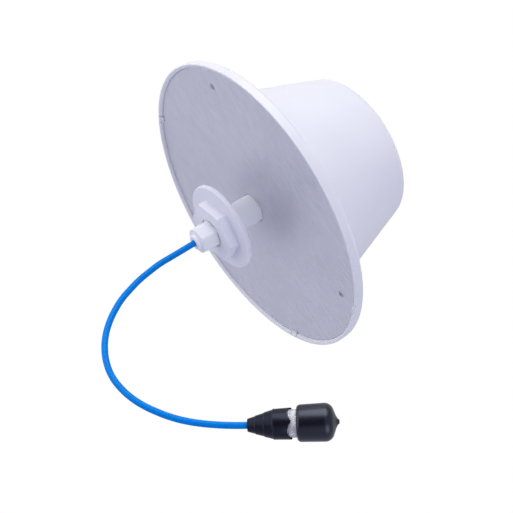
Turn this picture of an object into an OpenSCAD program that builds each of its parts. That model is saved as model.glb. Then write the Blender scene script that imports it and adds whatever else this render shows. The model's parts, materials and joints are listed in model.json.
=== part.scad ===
// Indoor ceiling antenna with a threaded stud, a flanged nut and a short coaxial pigtail.
// Millimetres. The stud points up (+Z) through the ceiling and the dome hangs below it.
// The origin is on the stud's axis, in the plane of the lip that meets the ceiling.

/* [Radome] */
// Outer diameter of the rim
rim_d = 210; // [190:1:240]
// Height of the rim, from the lip's crest to the brim's dome side
rim_h = 7.7; // [7.2:0.1:10.7]
// Radial width of the lip around the plate
lip_w = 4; // [3.5:0.1:6]
// How far the lip stands proud of the plate
lip_h = 2.2; // [1.4:0.1:2.5]
// Diameter of the dome where it leaves the brim
dome_base_d = 158.4; // [140:0.2:165]
// Diameter of the dome's end, measured to the sharp corner
dome_top_d = 104; // [90:1:115]
// Height of the dome above the brim
dome_h = 85.5; // [80:0.5:110]
// Radius of the dome's end edge
dome_edge_r = 9.5; // [4:0.5:14]
// Radius of the hollow corner between dome and brim
base_fillet_r = 3; // [1:0.5:6]
// Radius of the rim's dome side edge
rim_edge_r = 3; // [1:0.1:3.5]
// Radius of the lip's inner and outer edges
lip_edge_r = 1.5; // [0.5:0.1:2]
// Wall of the moulding
wall = 2.4; // [2:0.1:2.8]
// Width of the ledge under the plate's edge
ledge_w = 4.5; // [3:0.1:6]
// Diameter of the screw bosses on the brim
boss_d = 9; // [7:0.5:10]

/* [Snap tabs] */
// Number of tabs on the lip
tab_count = 6; // [3:1:12]
// Width of a tab
tab_w = 5; // [3:0.5:10]
// How far a tab reaches over the plate's edge
tab_hold = 0.8; // [0.2:0.1:2]
// Thickness of a tab
tab_t = 1.1; // [0.8:0.1:1.3]
// Width of the relief slots beside a tab
notch_w = 0.8; // [0.5:0.1:1.5]
// Depth of the relief slots into the lip
notch_depth = 1.4; // [0.5:0.1:2]

/* [Ground plate] */
// Thickness of the plate
plate_t = 2; // [1.6:0.1:2.4]
// Gap between the plate's edge and the lip
plate_gap = 0.5; // [0.3:0.1:1.3]
// Place of the screws from the dome's base (0) to the plate's edge (1)
screw_share = 0.47; // [0.45:0.01:0.55]
// Diameter of a screw's head
screw_head_d = 4.8; // [4:0.1:5.4]
// Diameter of a screw's thread
screw_d = 2.4; // [2:0.1:3]
// Length of a screw with its head
screw_len = 4.5; // [3.8:0.1:4.6]

/* [Mounting stud] */
// Outer diameter of the stud
stud_d = 19.6; // [18:0.1:24]
// Length of the stud above the lip's plane
stud_len = 32.3; // [28:0.1:45]
// Diameter of the cable bore
stud_bore_d = 6; // [5:0.1:8]
// Chamfer at the stud's end
stud_chamfer = 0.4; // [0.3:0.1:1.5]
// Radial room for the stud in the plate
stud_room = 0.5; // [0.1:0.1:1]
// Diameter of the flange inside the plate
flange_d = 44; // [42:0.5:52]
// Thickness of the flange
flange_t = 3; // [2:0.5:5]
// Diameter of the circle of studs through the flange
flange_circle_d = 32; // [30:0.5:34]

/* [Mounting nut] */
// Diameter of the nut's flange
nut_flange_d = 60.6; // [50:0.2:80]
// Thickness of the nut's flange
nut_flange_t = 3.6; // [3.2:0.1:6]
// Radius of the flange's edges
nut_edge_r = 1.5; // [0.5:0.1:1.6]
// Width of the hexagon across its flats
nut_af = 36.5; // [32:0.5:46]
// Height of the hexagon above the flange
nut_hex_h = 7.1; // [6:0.1:12]
// Radius of the hexagon's corners
nut_corner_r = 0.3; // [0.2:0.1:3]
// Chamfer at the mouths of the bore
nut_chamfer = 0.4; // [0.3:0.1:1.5]
// Height of the flange over the lip's plane, as the nut is set
nut_rest = 22.3; // [18:0.1:23.5]
// Turn of the hexagon about the stud
nut_turn = 11.5; // [0:0.5:60]
// Radial running clearance on the stud
nut_fit = 0.05; // [0.02:0.01:0.1]

/* [Cable gland] */
// Width of the gland nut across its flats
gland_af = 16.8; // [15:0.1:17]
// Height of the gland nut's hexagon
gland_hex_h = 11.9; // [10.5:0.1:16]
// Gap between the gland nut and the stud's end
gland_gap = 0.2; // [0.1:0.1:2]
// Radius of the gland nut's corners
gland_corner_r = 1; // [0.3:0.1:2]
// Turn of the gland nut about the stud
gland_turn = -8; // [-30:1:30]
// Chamfer at the front of the hexagon
gland_chamfer = 1.2; // [0.3:0.1:2]
// Diameter of the collar at the cable's exit
collar_d = 10.4; // [8:0.2:13]
// Height of the collar
collar_h = 2.4; // [2:0.1:5]
// Radius of the collar's edge
collar_edge_r = 0.8; // [0.2:0.1:1.5]
// Diameter of the stud's neck inside the gland nut
neck_d = 11.8; // [11:0.1:12.4]
// Length of the neck
neck_len = 8; // [7:0.1:9.5]
// Depth of the seal's pocket in the neck
seal_depth = 5; // [3:0.1:6.5]
// Wall of the neck around the seal
neck_wall = 1.3; // [0.8:0.1:1.8]
// Wall of the seal's lip around the cable
seal_lip = 0.6; // [0.4:0.1:1]

/* [Cable] */
// Outer diameter of the cable
cable_d = 4.14; // [3.6:0.02:5]
// Diameter of the cable's outer conductor
shield_d = 3.6; // [3.2:0.1:3.6]
// Diameter of the cable's dielectric
dielectric_d = 3; // [2.4:0.1:3]
// Diameter of the cable's inner conductor
core_d = 0.92; // [0.5:0.02:1.2]

/* [Cable boot] */
// Length of the boot to the points of its scalloped end
boot_len = 26; // [24:0.5:34]
// Diameter at the cable
boot_tip_d = 7.6; // [7:0.1:8]
// Length of the ridged cone
boot_cone_len = 15.6; // [12:0.1:17]
// Diameter at the end of the cone
boot_shoulder_d = 18; // [16.4:0.1:20]
// Diameter at the scalloped end
boot_end_d = 18.5; // [18:0.1:22]
// Number of ridges on the cone
ridge_count = 3; // [2:1:6]
// Height of a ridge
ridge_h = 0.35; // [0.1:0.05:0.5]
// Number of scallops
scallop_count = 4; // [3:1:6]
// Depth of the scallops
scallop_depth = 2.4; // [1:0.1:3]
// Turn of the scallops about the boot's axis
boot_turn = 29; // [0:1:90]

/* [Jack] */
// Distance from the boot's cable end to the ferrule
ferrule_at = 8; // [6:0.5:9]
// Length of the ferrule
ferrule_len = 10; // [8:0.5:12]
// Wall of the ferrule
ferrule_wall = 0.9; // [0.5:0.1:1]
// Length of the cable inside the ferrule
crimp_len = 4; // [3:0.5:6]
// Diameter of the jack's hub inside the boot
hub_d = 14.2; // [12:0.1:14.6]
// Length of the hub
hub_len = 4.6; // [3:0.1:6]
// Diameter of the knurled ring
ring_d = 16.5; // [16:0.1:16.8]
// Length of the knurled ring
ring_len = 6; // [5:0.1:9]
// Diameter of the threaded barrel
barrel_d = 15.8; // [13:0.1:16]
// Length of the threaded barrel
barrel_len = 15; // [12:0.5:16]
// Chamfer at the barrel's end
barrel_chamfer = 0.95; // [0.3:0.05:1.5]
// Diameter of the barrel's bore
barrel_bore_d = 8.2; // [7:0.1:10]
// Diameter of the bore through the stem
stem_bore_d = 3; // [2.6:0.1:3.2]
// Distance from the ring's start to the insulating bead
bead_inset = 1; // [0.5:0.1:2]
// Length of the insulating bead
bead_len = 7; // [4:0.5:8]
// Diameter of the contact's socket
socket_d = 3.1; // [2.8:0.1:3.6]
// Distance from the socket's end to the barrel's end
socket_inset = 3; // [1:0.5:5]
// Diameter of the hole in the socket
socket_bore_d = 1.7; // [1.2:0.1:2]

/* [Dust cap] */
// Diameter at the cap's open end
cap_open_d = 21.5; // [19.5:0.1:26]
// Diameter at the cap's shoulder
cap_far_d = 22.6; // [20:0.1:26]
// Length from the open end to the shoulder
cap_side_len = 16.1; // [12:0.1:17]
// Radius of the open end's edge
cap_edge_r = 2.2; // [0.5:0.1:2.5]
// Radius of the shoulder
cap_shoulder_r = 5.5; // [2:0.1:6]
// Height of the nipple from its foot to its round end
nipple_h = 0.4; // [0.2:0.1:3]
// Diameter of the nipple
nipple_d = 2.4; // [2:0.1:5]
// Diameter of the nipple's foot
nipple_foot_d = 5.2; // [5:0.1:7]
// Slope of the cap's end cone, in degrees
cap_slope = 20; // [15:1:38]

/* [Radiator] */
// Diameter of the flat at the apex
apex_d = 14; // [12:0.5:20]
// Room between the skirt and the dome's wall
radiator_room = 3.8; // [2:0.1:6]
// Room between the skirt's end and the outside of the dome's end
end_room = 13.5; // [11:0.5:20]
// Width of the flange between the cone and the outside of the skirt
rim_flange_w = 10; // [9:0.5:14]
// Height of the skirt
skirt_h = 16; // [6:1:18]
// Thickness of the sheet
sheet_t = 1; // [0.6:0.1:1.5]
// Place of the posts from the cone (0) to the outside of the skirt (1)
post_share = 0.5; // [0.48:0.01:0.52]
// Diameter of a post
post_d = 7; // [6:0.5:8]

/* [Feed] */
// Thickness of the grounding disc
disc_t = 1.5; // [1:0.1:2.5]
// Diameter of the feed insulator
insulator_d = 12; // [9:0.5:16]
// Height of the feed insulator
insulator_h = 4; // [3:0.5:6]
// Length of bare outer conductor inside the flange
bare_shield = 1; // [0.5:0.1:2]
// Length of bare dielectric below the grounding disc
bare_dielectric = 1; // [0.5:0.1:2]
// Diameter of the head of the feed pin
pin_head_d = 5; // [4.5:0.1:8]
// Thickness of the head of the feed pin
pin_head_h = 1; // [0.8:0.1:2]

/* [Small fasteners] */
// Diameter of the clinch studs, post screws and feed pin
thread_d = 3; // [2.5:0.1:3]
// Width of a small nut across its flats
small_nut_af = 5.5; // [5:0.1:6]
// Height of a small nut
small_nut_h = 2.4; // [1.8:0.1:3]
// Diameter of a clinch stud's head
clinch_head_d = 4.8; // [4.2:0.1:6]
// Depth of a clinch stud's head in the plate
clinch_depth = 1.1; // [0.8:0.1:1.3]
// Length of a stud or screw in a post
post_thread_len = 6; // [4:0.5:10]
// Diameter of a post screw's head
pan_head_d = 5.6; // [5:0.1:6.4]
// Height of a post screw's head
pan_head_h = 2; // [1.2:0.1:3]

/* [Hidden] */
$fn = 96;

// Radial clearance where one piece only sits in another
seat_fit = 0.05;
// Radial clearance of a soft piece in its pocket
soft_fit = 0.1;
// Overlap that makes cuts and joins clean
eps = 0.5;
// Places of the three screws, the three flange studs and the three posts
screw_angles = [60, 180, 300];
flange_angles = [0, 120, 240];
post_angles = [0, 120, 240];
// Cross slot of a screw, as shares of its thread's diameter, its head's diameter and its head's height
slot_w_share = 0.33;
slot_len_share = 0.6;
slot_depth_share = 0.7;
// Sides of the tube that stands for the free cable
cable_sides = 10;
// Direction of the jack: degrees below the horizontal, and degrees aside from -X towards -Y
jack_dip = 50;
jack_aside = 12;
// Route of the free cable, from the gland's exit to the boot
lead_route = [
    [0, 0, 0], [0, 0, 9], [0, 0, 18], [0, 0, 27], [-1, 0, 36], [-2.5, 0, 45], [-5, 0, 54],
    [-8, 0, 62.5], [-12.5, 0, 71], [-18, 0, 79], [-25, 0, 86.5], [-33, 0, 92.5], [-42, 0, 97],
    [-51, 0, 99.5], [-60, 0, 100], [-69, 0, 99], [-78, 0, 96.5], [-87, 0, 92.5], [-95, 0, 88],
    [-103, -0.5, 82.5], [-110, -1, 76.5], [-116.5, -1.5, 70], [-122.5, -2.2, 63.5], [-128, -3, 57]];

// Radome radii and heights
rim_r = rim_d / 2;
lip_in_r = rim_r - lip_w;
ledge_in_r = lip_in_r - ledge_w;
dome_base_r = dome_base_d / 2;
dome_top_r = dome_top_d / 2;
dome_end_z = -rim_h - dome_h;
taper = atan2(dome_base_r - dome_top_r, dome_h);
// Plate heights
plate_top_z = -lip_h;
plate_under_z = plate_top_z - plate_t;
plate_r = lip_in_r - plate_gap;
tab_reach = plate_gap + tab_hold;
screw_circle_r = dome_base_r + screw_share * (plate_r - dome_base_r);
screw_head_h = (screw_head_d - screw_d) / 2;
// Stud and gland heights
stud_r = stud_d / 2;
flange_under_z = plate_under_z - flange_t;
gland_z = stud_len + gland_gap;
collar_z = gland_z + gland_hex_h;
exit_z = collar_z + collar_h;
neck_top_z = stud_len + neck_len;
seal_pocket_r = neck_d / 2 - neck_wall;
seal_r = seal_pocket_r - soft_fit;
seal_z = neck_top_z - seal_depth;
seal_lip_r = cable_d / 2 + seat_fit + seal_lip;
// Feed and radiator heights, stepping down from the flange
disc_under_z = flange_under_z - disc_t;
insulator_under_z = disc_under_z - insulator_h;
apex_z = insulator_under_z - pin_head_h;
skirt_end_z = dome_end_z + end_room;
rim_flange_z = skirt_end_z + skirt_h;
skirt_r = dome_base_r + (rim_h + skirt_end_z) * tan(taper) - wall / cos(taper) - radiator_room;
cone_r = skirt_r - rim_flange_w;
post_circle_r = cone_r + post_share * rim_flange_w;
strip_z = flange_under_z + bare_shield;
dielectric_end_z = disc_under_z - bare_dielectric;
// Jack stations along its axis, from the boot's cable end
ferrule_end = ferrule_at + ferrule_len;
cable_end = ferrule_at + crimp_len;
hub_start = ferrule_end + soft_fit;
ring_start = hub_start + hub_len;
ring_end = ring_start + ring_len;
barrel_end = ring_end + barrel_len;
cap_start = ring_end + soft_fit;
ferrule_bore_r = cable_d / 2 + soft_fit;
ferrule_r = ferrule_bore_r + ferrule_wall;
bead_start = ring_start + bead_inset;
bead_end = bead_start + bead_len;
bead_bore_r = stem_bore_d / 2 - soft_fit;
socket_end = barrel_end - socket_inset;
// Free cable in the model's frame
lead_start = [0, 0, exit_z];
lead_end = lead_start + lead_route[len(lead_route) - 1];
lead_dir = [-cos(jack_dip) * cos(jack_aside), -cos(jack_dip) * sin(jack_aside), -sin(jack_dip)];
lead_points = concat([for (p = lead_route) lead_start + p], [lead_end + cable_end * lead_dir]);

// Unit vector along v
function unit(v) = v / norm(v);
// Direction of the free cable at point i
function lead_tangent(i) = i == 0 ? [0, 0, 1]
    : i >= len(lead_points) - 2 ? lead_dir
    : unit(lead_points[i + 1] - lead_points[i - 1]);
// Ring of points around the free cable at point i
function lead_ring(i) = let (t = lead_tangent(i), n = unit(cross([0, 1, 0], t)), b = cross(t, n))
    [for (k = [0:cable_sides - 1]) let (a = 360 * k / cable_sides)
        lead_points[i] + cable_d / 2 * (cos(a) * n + sin(a) * b)];
// Ends of the flats of a hexagon with rounded corners
function hex_flats(half, corner_r) = [for (k = [0:5]) for (s = [-1, 1])
    let (a = 60 * k + 30, e = s * (half - corner_r) * tan(30))
        [half * cos(a) - e * sin(a), half * sin(a) + e * cos(a)]];
// Length from a corner to where an arc of radius r starts, for a corner of the given angle
function tangent_len(r, angle) = r / tan(angle / 2);

// Hexagon with rounded corners, flat to flat af
module rounded_hex(af, corner_r) {
    polygon(hex_flats(af / 2, corner_r));
    for (k = [0:5])
        rotate(60 * k)
            translate([(af / 2 - corner_r) / cos(30), 0])
                circle(corner_r);
}

// Part of the section plane on the outside of the axis
module outer_half() {
    translate([0, -2 * rim_d])
        square([2 * rim_d, 4 * rim_d]);
}

// Copies of a piece on a circle about the stud's axis
module around(angles, radius) {
    for (a = angles)
        rotate(a)
            translate([radius, 0, 0])
                children();
}

// Places a piece drawn along +Z on the jack's axis
module on_jack() {
    translate(lead_end)
        rotate([0, 90 + jack_dip, 180 + jack_aside])
            children();
}

// Section of the dome as a full solid, moved in by inset
module dome_section(inset) {
    end_z = dome_end_z + inset;
    base_z = -rim_h + inset;
    shift = inset * tan(taper) - inset / cos(taper);
    end_r = dome_top_r + shift;
    base_r = dome_base_r + shift;
    edge_r = dome_edge_r - inset;
    t = tangent_len(edge_r, 90 + taper);
    polygon([[0, end_z], [end_r - t, end_z], [end_r + t * sin(taper), end_z + t * cos(taper)],
        [base_r, base_z], [0, base_z]]);
    translate([end_r - t, end_z + edge_r])
        circle(edge_r);
}

// Section of the rounded rim and the brim's full thickness
module rim_section() {
    polygon([[0, -rim_h], [rim_r - rim_edge_r, -rim_h], [rim_r, -rim_h + rim_edge_r],
        [rim_r, -lip_edge_r], [rim_r - lip_edge_r, 0], [0, 0]]);
    translate([rim_r - rim_edge_r, -rim_h + rim_edge_r])
        circle(rim_edge_r);
    translate([rim_r - lip_edge_r, -lip_edge_r])
        circle(lip_edge_r);
}

// Hollow corner between the dome and the brim
module base_fillet_section() {
    t = tangent_len(base_fillet_r, 90 + taper);
    difference() {
        polygon([[dome_base_r - t * sin(taper), -rim_h - t * cos(taper)], [dome_base_r + t, -rim_h],
            [dome_base_r + t, -rim_h + wall / 2], [dome_base_r - wall / 2, -rim_h + wall / 2]]);
        translate([dome_base_r + t, -rim_h - base_fillet_r])
            circle(base_fillet_r);
    }
}

// Room that the round of the lip's inner edge leaves
module lip_inner_section() {
    difference() {
        translate([lip_in_r - eps, -lip_edge_r])
            square([lip_edge_r + eps, lip_edge_r + eps]);
        translate([lip_in_r + lip_edge_r, -lip_edge_r])
            circle(lip_edge_r);
    }
}

// Inside of the radome: dome, brim, ledge and lip
module radome_cavity_section() {
    dome_section(wall);
    translate([0, -rim_h + wall - eps])
        square([dome_base_r - wall, eps]);
    translate([0, -rim_h + wall])
        square([ledge_in_r, rim_h]);
    translate([0, plate_under_z])
        square([lip_in_r, rim_h]);
    lip_inner_section();
}

// One snap tab on the lip, on the +X side
module snap_tab() {
    translate([lip_in_r - tab_reach, -tab_w / 2, plate_top_z + soft_fit])
        cube([tab_reach + eps, tab_w, tab_t]);
}

// Relief slots on both sides of a tab
module tab_notches() {
    for (s = [-1, 1])
        translate([lip_in_r - eps, s * (tab_w + notch_w) / 2 - notch_w / 2, plate_top_z])
            cube([notch_depth + eps, notch_w, lip_h + eps]);
}

module radome() {
    tab_angles = [for (k = [0:tab_count - 1]) 360 * k / tab_count];
    boss_base_z = -rim_h + wall - eps;
    pilot_end_z = plate_top_z - screw_len - soft_fit;
    color("white")
    difference() {
        union() {
            rotate_extrude()
                intersection() {
                    difference() {
                        union() {
                            dome_section(0);
                            rim_section();
                            base_fillet_section();
                        }
                        radome_cavity_section();
                    }
                    outer_half();
                }
            for (a = tab_angles)
                rotate(a)
                    snap_tab();
            around(screw_angles, screw_circle_r)
                translate([0, 0, boss_base_z])
                    cylinder(d = boss_d, h = plate_under_z - boss_base_z);
        }
        for (a = tab_angles)
            rotate(a)
                tab_notches();
        around(screw_angles, screw_circle_r)
            translate([0, 0, pilot_end_z])
                cylinder(d = screw_d + 2 * seat_fit, h = rim_h);
    }
}

// Countersunk screw with its head's face at z = 0
module plate_screw() {
    slot_w = screw_d * slot_w_share;
    slot_l = screw_head_d * slot_len_share;
    slot_h = screw_head_h * slot_depth_share;
    difference() {
        rotate_extrude()
            polygon([[0, 0], [screw_head_d / 2, 0], [screw_d / 2, -screw_head_h],
                [screw_d / 2, screw_d / 2 - screw_len], [0, -screw_len]]);
        for (a = [0, 90])
            rotate(a)
                translate([-slot_l / 2, -slot_w / 2, -slot_h])
                    cube([slot_l, slot_w, slot_h + eps]);
    }
}

module plate_screws() {
    color("dimgray")
    around(screw_angles, screw_circle_r)
        translate([0, 0, plate_top_z])
            plate_screw();
}

// Countersunk hole for a plate screw
module screw_hole() {
    head_r = screw_head_d / 2 + seat_fit;
    shank_r = screw_d / 2 + seat_fit;
    translate([0, 0, -plate_t - eps])
        cylinder(r = shank_r, h = plate_t + 2 * eps);
    translate([0, 0, shank_r - head_r])
        cylinder(r1 = shank_r, r2 = head_r, h = head_r - shank_r);
    cylinder(r = head_r, h = eps);
}

// Blind seat for a clinch stud's head, open at z = 0 and running up
module clinch_seat() {
    translate([0, 0, -eps])
        cylinder(d = clinch_head_d + 2 * seat_fit, h = clinch_depth + seat_fit + eps);
}

module ground_plate() {
    color("silver")
    difference() {
        translate([0, 0, plate_under_z])
            cylinder(r = plate_r, h = plate_t);
        translate([0, 0, plate_under_z - eps])
            cylinder(r = stud_r + stud_room, h = plate_t + 2 * eps);
        around(screw_angles, screw_circle_r)
            translate([0, 0, plate_top_z])
                screw_hole();
        around(flange_angles, flange_circle_d / 2)
            translate([0, 0, plate_under_z])
                clinch_seat();
        around(post_angles, post_circle_r)
            translate([0, 0, plate_under_z])
                clinch_seat();
    }
}

// Stud with a flat head in the plate and a shank that hangs below it
module clinch_stud(shank) {
    cylinder(d = clinch_head_d, h = clinch_depth);
    translate([0, 0, -shank])
        cylinder(d = thread_d, h = shank + clinch_depth / 2);
}

module clinch_studs() {
    color("gainsboro") {
        around(flange_angles, flange_circle_d / 2)
            translate([0, 0, plate_under_z])
                clinch_stud(flange_t + disc_t + small_nut_h + eps);
        around(post_angles, post_circle_r)
            translate([0, 0, plate_under_z])
                clinch_stud(post_thread_len);
    }
}

module mounting_stud() {
    color("white")
    difference() {
        union() {
            translate([0, 0, flange_under_z])
                cylinder(d = flange_d, h = flange_t);
            translate([0, 0, plate_under_z])
                cylinder(r = stud_r, h = stud_len - stud_chamfer - plate_under_z);
            translate([0, 0, stud_len - stud_chamfer])
                cylinder(r1 = stud_r, r2 = stud_r - stud_chamfer, h = stud_chamfer);
            translate([0, 0, stud_len - eps])
                cylinder(d = neck_d, h = neck_len + eps);
        }
        translate([0, 0, flange_under_z - eps])
            cylinder(d = stud_bore_d, h = neck_top_z - flange_under_z + 2 * eps);
        translate([0, 0, seal_z])
            cylinder(r = seal_pocket_r, h = seal_depth + eps);
        around(flange_angles, flange_circle_d / 2)
            translate([0, 0, flange_under_z - eps])
                cylinder(d = thread_d + 2 * seat_fit, h = flange_t + 2 * eps);
    }
}

// Section of the nut's round flange
module nut_flange_section() {
    r = nut_flange_d / 2;
    square([r - nut_edge_r, nut_flange_t]);
    translate([0, nut_edge_r])
        square([r, nut_flange_t - 2 * nut_edge_r]);
    for (z = [nut_edge_r, nut_flange_t - nut_edge_r])
        translate([r - nut_edge_r, z])
            circle(nut_edge_r);
}

module mounting_nut() {
    bore_r = stud_r + nut_fit;
    nut_h = nut_flange_t + nut_hex_h;
    color("white")
    translate([0, 0, nut_rest])
        difference() {
            union() {
                rotate_extrude()
                    nut_flange_section();
                rotate(nut_turn)
                    linear_extrude(nut_h)
                        rounded_hex(nut_af, nut_corner_r);
            }
            translate([0, 0, -eps])
                cylinder(r = bore_r, h = nut_h + 2 * eps);
            cylinder(r1 = bore_r + nut_chamfer, r2 = bore_r, h = nut_chamfer);
            translate([0, 0, nut_h - nut_chamfer])
                cylinder(r1 = bore_r, r2 = bore_r + nut_chamfer, h = nut_chamfer);
        }
}

// Outline of the gland nut's front, which trims the hexagon's corners and carries the collar
module gland_front_section() {
    corner_r = gland_af / 2 / cos(30);
    collar_r = collar_d / 2;
    polygon([[0, gland_z], [corner_r, gland_z], [corner_r, collar_z - gland_chamfer],
        [corner_r - gland_chamfer, collar_z], [0, collar_z]]);
    translate([0, collar_z - eps])
        square([collar_r, collar_h + eps - collar_edge_r]);
    translate([0, collar_z])
        square([collar_r - collar_edge_r, collar_h]);
    translate([collar_r - collar_edge_r, exit_z - collar_edge_r])
        circle(collar_edge_r);
}

module gland_nut() {
    thread_r = neck_d / 2 + soft_fit;
    exit_r = seal_lip_r + soft_fit;
    cone_z = neck_top_z + soft_fit;
    color("white")
    difference() {
        intersection() {
            translate([0, 0, gland_z])
                rotate(gland_turn)
                    linear_extrude(gland_hex_h + collar_h)
                        rounded_hex(gland_af, gland_corner_r);
            rotate_extrude()
                gland_front_section();
        }
        translate([0, 0, gland_z - eps])
            cylinder(r = thread_r, h = cone_z - gland_z + eps);
        translate([0, 0, cone_z])
            cylinder(r1 = thread_r, r2 = exit_r, h = thread_r - exit_r);
        translate([0, 0, cone_z])
            cylinder(r = exit_r, h = exit_z - cone_z + eps);
    }
}

module gland_seal() {
    bore_r = cable_d / 2 + seat_fit;
    squeeze = seal_r - seal_lip_r;
    color("whitesmoke")
    rotate_extrude()
        polygon([[bore_r, seal_z], [seal_r, seal_z], [seal_r, neck_top_z],
            [seal_lip_r, neck_top_z + squeeze], [seal_lip_r, exit_z - collar_edge_r],
            [bore_r, exit_z - collar_edge_r]]);
}

module feed_cable() {
    color("dodgerblue")
    rotate_extrude()
        polygon([[0, exit_z], [cable_d / 2, exit_z], [cable_d / 2, strip_z], [shield_d / 2, strip_z],
            [shield_d / 2, disc_under_z], [dielectric_d / 2, disc_under_z],
            [dielectric_d / 2, dielectric_end_z], [core_d / 2, dielectric_end_z],
            [core_d / 2, insulator_under_z], [0, insulator_under_z]]);
}

module grounding_disc() {
    color("goldenrod")
    difference() {
        translate([0, 0, disc_under_z])
            cylinder(d = flange_d, h = disc_t);
        translate([0, 0, disc_under_z - eps])
            cylinder(d = shield_d + 2 * seat_fit, h = disc_t + 2 * eps);
        around(flange_angles, flange_circle_d / 2)
            translate([0, 0, disc_under_z - eps])
                cylinder(d = thread_d + 2 * seat_fit, h = disc_t + 2 * eps);
    }
}

// Small hex nut that hangs below z = 0
module small_nut() {
    difference() {
        translate([0, 0, -small_nut_h])
            cylinder(d = small_nut_af / cos(30), h = small_nut_h, $fn = 6);
        translate([0, 0, -small_nut_h - eps])
            cylinder(d = thread_d + 2 * seat_fit, h = small_nut_h + 2 * eps);
    }
}

module flange_nuts() {
    color("gainsboro")
    around(flange_angles, flange_circle_d / 2)
        translate([0, 0, disc_under_z])
            small_nut();
}

// Insulating post between the plate and the radiator's flange, drilled at both ends
module standoff_post(index) {
    post_h = plate_under_z - rim_flange_z;
    hole_h = post_thread_len + eps;
    color("ivory")
    around([post_angles[index]], post_circle_r)
        translate([0, 0, rim_flange_z])
            difference() {
                cylinder(d = post_d, h = post_h);
                translate([0, 0, post_h - hole_h])
                    cylinder(d = thread_d + 2 * seat_fit, h = hole_h + eps);
                translate([0, 0, -eps])
                    cylinder(d = thread_d + 2 * seat_fit, h = hole_h + eps);
            }
}

module radiator_cone() {
    apex_r = apex_d / 2;
    slope = atan2(apex_z - rim_flange_z, cone_r - apex_r);
    bend = sheet_t * tan(slope / 2);
    color("lightgray")
    difference() {
        rotate_extrude()
            polygon([[0, apex_z], [apex_r, apex_z], [cone_r, rim_flange_z], [skirt_r, rim_flange_z],
                [skirt_r, skirt_end_z], [skirt_r - sheet_t, skirt_end_z],
                [skirt_r - sheet_t, rim_flange_z - sheet_t], [cone_r - bend, rim_flange_z - sheet_t],
                [apex_r - bend, apex_z - sheet_t], [0, apex_z - sheet_t]]);
        translate([0, 0, apex_z - sheet_t - eps])
            cylinder(d = thread_d + 2 * seat_fit, h = sheet_t + 2 * eps);
        around(post_angles, post_circle_r)
            translate([0, 0, rim_flange_z - sheet_t - eps])
                cylinder(d = thread_d + 2 * seat_fit, h = sheet_t + 2 * eps);
    }
}

// Pan head screw with its head below z = 0 and its shank up in the post
module post_screw() {
    translate([0, 0, -pan_head_h])
        cylinder(d = pan_head_d, h = pan_head_h);
    translate([0, 0, -pan_head_h / 2])
        cylinder(d = thread_d, h = pan_head_h / 2 + sheet_t + post_thread_len);
}

module post_screws() {
    color("ivory")
    around(post_angles, post_circle_r)
        translate([0, 0, rim_flange_z - sheet_t])
            post_screw();
}

module feed_insulator() {
    color("ivory")
    difference() {
        translate([0, 0, insulator_under_z])
            cylinder(d = insulator_d, h = insulator_h);
        translate([0, 0, insulator_under_z - eps])
            cylinder(d = thread_d + 2 * seat_fit, h = insulator_h + 2 * eps);
    }
}

module feed_pin() {
    pin_top_z = dielectric_end_z - soft_fit;
    pin_end_z = apex_z - sheet_t - small_nut_h - eps;
    color("goldenrod")
    difference() {
        union() {
            translate([0, 0, pin_end_z])
                cylinder(d = thread_d, h = pin_top_z - pin_end_z);
            translate([0, 0, apex_z])
                cylinder(d = pin_head_d, h = pin_head_h);
        }
        translate([0, 0, insulator_under_z - eps])
            cylinder(d = core_d + 2 * seat_fit, h = pin_top_z - insulator_under_z + 2 * eps);
    }
}

module feed_nut() {
    color("goldenrod")
    translate([0, 0, apex_z - sheet_t])
        small_nut();
}

// Free cable, swept along its route
module pigtail_cable() {
    rings = len(lead_points);
    last = (rings - 1) * cable_sides;
    sides = [for (i = [0:rings - 2]) for (k = [0:cable_sides - 1]) let (m = (k + 1) % cable_sides)
        [(i + 1) * cable_sides + k, (i + 1) * cable_sides + m, i * cable_sides + m,
            i * cable_sides + k]];
    ends = [[for (k = [0:cable_sides - 1]) k], [for (k = [cable_sides - 1:-1:0]) last + k]];
    color("dodgerblue")
    polyhedron([for (i = [0:rings - 1]) each lead_ring(i)], concat(sides, ends), convexity = 4);
}

// Section of the boot: a ridged cone, then a flaring sleeve over the jack's ring
module boot_section() {
    tip_r = boot_tip_d / 2;
    rise = (boot_shoulder_d / 2 - tip_r) / ridge_count;
    step = boot_cone_len / ridge_count;
    cone = [for (k = [0:ridge_count - 1]) for (e = [0, 1])
        [tip_r + rise * (k + e) - (e == 1 ? ridge_h : 0), step * (k + e)]];
    sleeve_r = ring_d / 2 + soft_fit;
    polygon(concat([[cable_d / 2 + soft_fit, 0]], cone,
        [[boot_shoulder_d / 2, boot_cone_len], [boot_end_d / 2, boot_len], [sleeve_r, boot_len],
            [sleeve_r, ring_start - soft_fit], [hub_d / 2 + soft_fit, ring_start - soft_fit],
            [hub_d / 2 + soft_fit, hub_start - soft_fit], [ferrule_r + soft_fit, hub_start - soft_fit],
            [ferrule_r + soft_fit, ferrule_at], [cable_d / 2 + soft_fit, ferrule_at]]));
}

module cable_boot() {
    half_chord = boot_end_d / 2 * sin(180 / scallop_count);
    scallop_r = (half_chord * half_chord + scallop_depth * scallop_depth) / (2 * scallop_depth);
    color("black")
    on_jack()
        difference() {
            rotate_extrude()
                boot_section();
            for (k = [0:scallop_count - 1])
                rotate(boot_turn + 360 * (k + 0.5) / scallop_count)
                    translate([0, 0, boot_len - scallop_depth + scallop_r])
                        rotate([0, 90, 0])
                            cylinder(r = scallop_r, h = boot_end_d);
        }
}

module crimp_ferrule() {
    color("gainsboro")
    on_jack()
        translate([0, 0, ferrule_at])
            difference() {
                cylinder(r = ferrule_r, h = ferrule_len);
                translate([0, 0, -eps])
                    cylinder(r = ferrule_bore_r, h = ferrule_len + 2 * eps);
            }
}

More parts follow.
